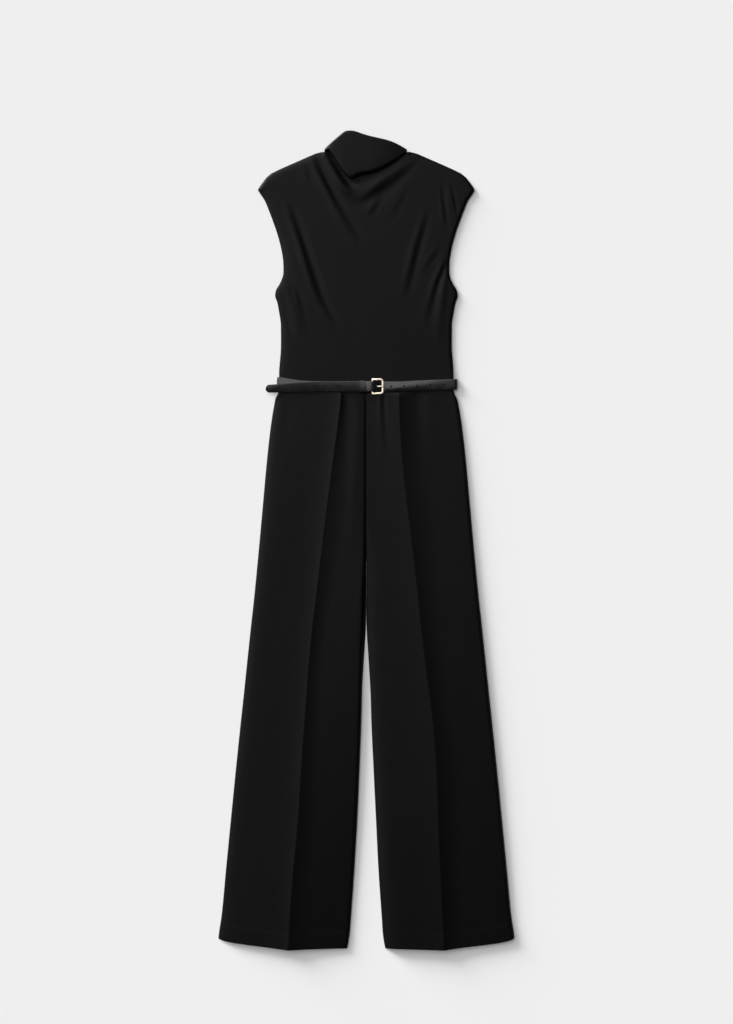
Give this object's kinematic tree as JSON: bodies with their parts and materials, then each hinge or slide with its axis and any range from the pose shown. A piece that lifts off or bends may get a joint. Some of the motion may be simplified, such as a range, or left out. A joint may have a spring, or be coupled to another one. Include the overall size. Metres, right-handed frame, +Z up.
{
  "type": "jumpsuit laid flat",
  "caption": "Black sleeveless wide-leg jumpsuit with cap shoulders, a draped funnel neck, pressed creases and a thin buckled belt, laid flat on its back.",
  "frame": {"origin": "middle of the garment's outline, on the surface that it lies on", "axes": "+Y up the garment towards the neck, +X to the right as seen from above, +Z up off the surface"},
  "size_m": [0.5608, 1.555, 0.0173],
  "materials": {
    "crepe": "matt",
    "strap": "satin",
    "metal": "polished"
  },
  "bodies": {
    "root": {"bodice_front": "crepe", "bodice_back_left": "crepe", "bodice_back_right": "crepe", "funnel_collar": "crepe", "leg_front_left": "crepe", "leg_front_right": "crepe", "leg_back_left": "crepe", "leg_back_right": "crepe", "belt_strap": "strap", "belt_keeper": "strap", "buckle_frame": "metal", "buckle_prong": "metal"}
  },
  "joints": []
}
